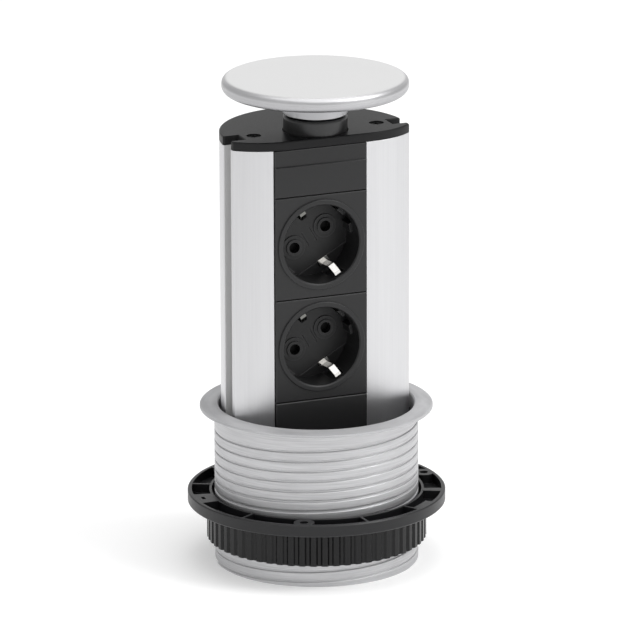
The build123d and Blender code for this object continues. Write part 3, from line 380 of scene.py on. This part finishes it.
def moulded_finish(name, rough, scale, shine, relief, edge_radius, tones, wear_and_highlight_colour, blue=0.0005):
    """Black plastic with a grain in gloss, relief and colour, and paler edges that are partly wear
    and partly a painted highlight.
    """
    dark, light = (grey(tone, blue) for tone in tones)
    material, grain = grained_finish(name, dark, 0.0, rough, scale, shine, plastic_detail)
    raise_grain(material, grain, relief, edge_radius)
    edges = wear_and_highlight_edges(material, plastic_reach)
    vary_colour(material, grain, dark, light, edges, grey(wear_and_highlight_colour, 0.001))
    return material


# %% Insert plastic
insert_plastic = moulded_finish(
    "insert_moulded",
    rough=(0.42, 0.52),
    scale=5200.0,
    shine=0.46,
    relief=0.00001,
    edge_radius=0.0002,
    tones=(0.005, 0.009),
    wear_and_highlight_colour=0.03,
)
insert_pieces = ["blank_plate_upper", "blank_plate_lower", "socket_face_upper", "socket_face_lower"]
wear(insert_pieces, insert_plastic)

# %% Clamp ring plastic
clamp_plastic = moulded_finish(
    "clamp_moulded",
    rough=(0.32, 0.46),
    scale=3200.0,
    shine=0.4,
    relief=0.000016,
    edge_radius=0.00025,
    tones=(0.004, 0.008),
    wear_and_highlight_colour=0.022,
    blue=0.001,
)
wear(["clamp_ring"], clamp_plastic)

# %% Nut plastic
nut_plastic = moulded_finish(
    "nut_moulded",
    rough=(0.22, 0.3),
    scale=3200.0,
    shine=0.28,
    relief=0.000008,
    edge_radius=0.00015,
    tones=(0.003, 0.005),
    wear_and_highlight_colour=0.02,
)
wear(["knurled_nut"], nut_plastic)

# %% Cap plastic
cap_plastic = moulded_finish(
    "cap_moulded",
    rough=(0.32, 0.4),
    scale=2600.0,
    shine=0.1,
    relief=0.000006,
    edge_radius=0.0002,
    tones=(0.007, 0.009),
    wear_and_highlight_colour=0.03,
)
# Painted light: the side of the cap, below its top, is painted paler than the top.
cap_side_painted_light = below_height(cap_plastic, 0.22, spread=0.0002)
cover_colour(cap_plastic, cap_side_painted_light, grey(0.019, 0.0005))
wear(["top_cap"], cap_plastic)

# %% [markdown]
# ### Neck and inner plastics
# The neck slides, so it is smooth and glossier. The pieces inside are plain nylon, the
# shutters are a dull black, and the terminal block is pale.

# %% Neck, inner, shutter and terminal plastics
neck_colour = grey(0.008, 0.0005)
neck_plastic, neck_grain = grained_finish(
    "neck_moulded", neck_colour, 0.0, (0.32, 0.4), 2600.0, shine=0.65, detail=plastic_detail
)
wear(["neck"], neck_plastic)
inner_colour = grey(0.007, 0.0005)
inner_plastic, inner_grain = grained_finish(
    "inner_moulded", inner_colour, 0.0, (0.45, 0.58), 3000.0, detail=plastic_detail
)
raise_grain(inner_plastic, inner_grain, height=0.000012)
inner_black = ["base_plate", "cord_gland", "gland_nut", "cord_clamp", "guide_cup", "glide_pads"]
inner_black += ["socket_back_upper", "socket_back_lower", "guide_key_left", "guide_key_right"]
wear(inner_black, inner_plastic)
shutter_plastic, shutter_grain = grained_finish(
    "shutter_moulded", grey(0.003), 0.0, (0.4, 0.52), 3000.0, shine=0.1, detail=plastic_detail
)
wear(["shutter_upper", "shutter_lower"], shutter_plastic)
ivory = (0.72, 0.70, 0.64)
terminal_plastic, terminal_grain = grained_finish(
    "terminal_moulded", ivory, 0.0, (0.45, 0.55), 3000.0, detail=plastic_detail
)
wear(["terminal_block"], terminal_plastic)

# %% [markdown]
# ### Small metal parts
# The earth clips are nickel plated spring strip. Their upper ends are painted dark, a painted
# dark reflection. Each clip has its own material, because that end is told by its height.

# %% Nickel clips
clip_middles = {"upper": 0.1666, "lower": 0.1144}
bright_nickel = (0.66, 0.65, 0.63)
dark_reflection_nickel = (0.17, 0.17, 0.16)
for place, middle in clip_middles.items():
    clip_name = "nickel_" + place
    nickel, nickel_grain = grained_finish(
        clip_name, bright_nickel, 1.0, (0.14, 0.26), 1500.0, detail=2.0
    )
    # Painted reflection: the upper end of the clip is painted dark.
    clip_end_painted_reflection = above_height(nickel, middle, spread=0.001)
    feed(nickel, "Base Color", mix_colour(nickel, clip_end_painted_reflection, bright_nickel, dark_reflection_nickel))
    wear(["earth_clip_" + place], nickel)

# %% [markdown]
# The contacts and bars are plain brass. Screws inside are zinc plated and those in the cap
# are blackened.

# %% Brass, zinc and black steel
brass, brass_grain = grained_finish("plain_brass", (0.80, 0.60, 0.28), 1.0, (0.24, 0.4), 1200.0)
contacts = ["live_contact_upper", "live_contact_lower"]
contacts += ["neutral_contact_upper", "neutral_contact_lower"]
wear(contacts + ["live_bar", "neutral_bar", "earth_bar", "terminal_clamps"], brass)
zinc, zinc_grain = grained_finish("zinc_plate", (0.66, 0.67, 0.68), 1.0, (0.24, 0.38), 1800.0)
inner_screws = ["key_screws", "base_screws", "cord_clamp_screws", "back_screws"]
inner_screws += ["terminal_screws", "lid_screw", "guide_screws"]
wear(inner_screws, zinc)
black_steel, black_grain = grained_finish(
    "black_steel", grey(0.002), 0.0, (0.46, 0.56), 1800.0, shine=0.05
)
wear(["cap_screws"], black_steel)

# %% [markdown]
# ## Lid spring
# The coil stands on the floor of the guide cup and carries the neck. The construction model
# has it as one rigid piece, which would slide down through the cup with the lid. So it is
# wound anew from one small circle, with the same size and place.

# %% Spring sizes
spring_low, spring_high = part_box("lid_spring")
spring_wire = 0.0006
spring_turns = 6.5
steps_per_turn = 28
wire_sides = 12
coil_radius = (spring_high[1] - spring_low[1]) / 2 - spring_wire
coil_rise = spring_high[2] - spring_low[2] - 2 * spring_wire
print("coil radius", round(coil_radius, 4), "rise", round(coil_rise, 4))

# %% Wind the wire
bpy.ops.object.select_all(action="DESELECT")
bpy.ops.mesh.primitive_circle_add(
    vertices=wire_sides,
    radius=spring_wire,
    location=(coil_radius, 0, spring_low[2] + spring_wire),
    rotation=(math.pi / 2, 0, 0),
)
lid_coil = bpy.context.object
lid_coil.name = "lid_coil"
bpy.ops.object.transform_apply(location=True, rotation=True, scale=True)
winding = lid_coil.modifiers.new("winding", "SCREW")
winding.axis = "Z"
winding.angle = 2 * math.pi * spring_turns
winding.screw_offset = coil_rise
winding.steps = int(spring_turns * steps_per_turn)
winding.render_steps = winding.steps
winding.use_merge_vertices = False
bpy.ops.object.modifier_apply(modifier="winding")
print("coil", len(lid_coil.data.vertices), "points")

# %% [markdown]
# A wound tube is open at both ends, and its faces may point inwards. Both are put right in
# edit mode.

# %% Close the ends
bpy.ops.object.mode_set(mode="EDIT")
bpy.ops.mesh.select_all(action="SELECT")
bpy.ops.mesh.fill_holes(sides=0)
bpy.ops.mesh.select_all(action="SELECT")
bpy.ops.mesh.normals_make_consistent(inside=False)
bpy.ops.object.mode_set(mode="OBJECT")
bpy.ops.object.shade_smooth()
spring_colour = grey(0.56, 0.01)
spring_steel, spring_grain = grained_finish("spring_wire", spring_colour, 1.0, (0.22, 0.36), 900.0)
lid_coil.data.materials.append(spring_steel)
print("coil", len(lid_coil.data.polygons), "faces")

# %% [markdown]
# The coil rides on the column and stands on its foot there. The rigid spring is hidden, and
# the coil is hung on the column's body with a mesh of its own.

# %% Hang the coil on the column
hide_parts("lid_spring")
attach(lid_coil, "column")
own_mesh(lid_coil)

# %% [markdown]
# ## Studio
# The floor is plain and nearly white. A little light of its own lifts it to the white of
# the backdrop, so the object stands on no visible horizon.

# %% Floor
floor_size = 12.0
floor_glow = 0.2
bpy.ops.object.select_all(action="DESELECT")
bpy.ops.mesh.primitive_plane_add(size=floor_size, location=(0, 0, 0))
floor = bpy.context.object
floor.name = "studio_floor"
floor_white = new_finish("floor_white", grey(0.88), metallic=0.0)
floor_shader = floor_white.node_tree.nodes["Principled BSDF"]
floor_shader.inputs["Roughness"].default_value = 0.9
floor_shader.inputs["Emission Color"].default_value = (1.0, 1.0, 1.0, 1.0)
floor_shader.inputs["Emission Strength"].default_value = floor_glow
floor.data.materials.append(floor_white)
print("floor", floor_size, "across")

# %% [markdown]
# Satin metal shows each light as a broad band, so the size and place of the lights shape
# the column and the sleeve. A wide one hangs above. One at the front right and a small one
# higher up on that side draw the bright bands. A weak one at the left and a broad one
# behind lift the edges. Azimuths are degrees from the front, to the right.

# %% Lights
aim_height = 0.12


def direction(azimuth, elevation):
    """Unit vector from the object towards an azimuth and elevation in degrees."""
    turn, lift = math.radians(azimuth), math.radians(elevation)
    flat = math.cos(lift)
    return Vector((math.sin(turn) * flat, -math.cos(turn) * flat, math.sin(lift)))


def soft_light(name, azimuth, elevation, distance, size, power):
    """Area light that looks at the middle of the object."""
    towards = direction(azimuth, elevation)
    data = bpy.data.lights.new(name, "AREA")
    data.shape = "RECTANGLE"
    data.size, data.size_y = size
    data.energy = power
    light = bpy.data.objects.new(name, data)
    bpy.context.scene.collection.objects.link(light)
    light.location = Vector((0, 0, aim_height)) + towards * distance
    light.rotation_euler = (-towards).to_track_quat("-Z", "Y").to_euler()
    print(name, "power", power)


soft_light("top_light", 20, 80, distance=1.6, size=(2.4, 2.4), power=19)
soft_light("front_right_light", 35, 26, distance=1.9, size=(1.4, 2.0), power=2.8)
soft_light("upper_right_light", 50, 48, distance=1.8, size=(0.7, 0.7), power=11)
soft_light("left_light", -66, 20, distance=1.9, size=(0.7, 1.8), power=0.6)
soft_light("back_light", 157, 15, distance=3.0, size=(3.2, 1.3), power=4.4)

# %% [markdown]
# An even white world fills the shadows. The Standard view keeps the tones as they are,
# where the default one would grey the whites.

# %% World
world_strength = 0.6
world = bpy.data.worlds.new("studio_world")
world.use_nodes = True
background = world.node_tree.nodes["Background"]
background.inputs["Color"].default_value = (1.0, 1.0, 1.0, 1.0)
background.inputs["Strength"].default_value = world_strength
bpy.context.scene.world = world
bpy.context.scene.view_settings.view_transform = "Standard"
print("world", world_strength)

# %% [markdown]
# ## Camera
# The view looks down by sixteen degrees from a little left of the front, from about three
# and a half metres with a long lens. Its horizontals rise to the right by a hair. The lens
# follows from how many pixels one metre of the object takes in a picture 640 pixels wide.

# %% Camera
camera_azimuth = -22.4
camera_elevation = 16.1
camera_distance = 3.45
camera_roll = -0.18
camera_height = 0.1225
camera_right = 0.0020
pixels_per_metre = 2018.0
picture_width = 640.0
sensor_width = 36.0
back = direction(camera_azimuth, camera_elevation)
right = Matrix.Rotation(math.radians(90), 3, "Z") @ direction(camera_azimuth, 0)
camera_data = bpy.data.cameras.new("camera")
camera_data.sensor_width = sensor_width
camera_data.lens = pixels_per_metre * sensor_width * camera_distance / picture_width
camera = bpy.data.objects.new("camera", camera_data)
bpy.context.scene.collection.objects.link(camera)
aim = Vector((0, 0, camera_height)) + right * camera_right
camera.location = aim + back * camera_distance
camera.rotation_mode = "QUATERNION"
roll = Matrix.Rotation(math.radians(camera_roll), 3, back).to_quaternion()
camera.rotation_quaternion = roll @ (-back).to_track_quat("-Z", "Y")
bpy.context.scene.camera = camera
print("lens", round(camera_data.lens, 1))
